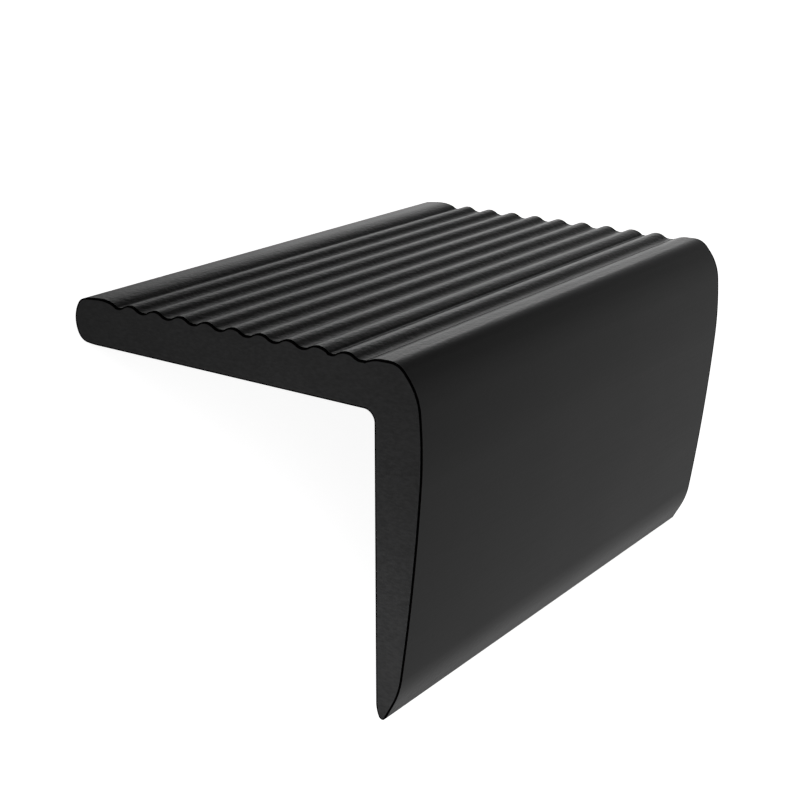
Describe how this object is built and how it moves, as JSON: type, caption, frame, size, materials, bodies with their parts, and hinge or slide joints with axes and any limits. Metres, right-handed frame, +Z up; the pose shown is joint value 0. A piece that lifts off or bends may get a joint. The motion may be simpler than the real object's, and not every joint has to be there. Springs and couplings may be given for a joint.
{
  "type": "stair nosing",
  "caption": "Short piece of black rubber stair nosing: a ribbed leg for the tread, a rounded nose and a smooth front lip that covers the step edge and tapers to a thin tip.",
  "frame": {"origin": "under the middle of the part's bounding box, on the floor that it lies on", "axes": "+X along the length; -Y to the front, the side that the front lip faces; +Z up. It lies tipped back on its rear end and its tip, turned 39.65 degrees about +X from its pose on a stair"},
  "size_m": [0.0704, 0.06, 0.0333],
  "materials": {
    "black_rubber": "satin moulded surface, with matte cut ends"
  },
  "bodies": {
    "root": {"stair_nosing": "black_rubber"}
  },
  "joints": []
}
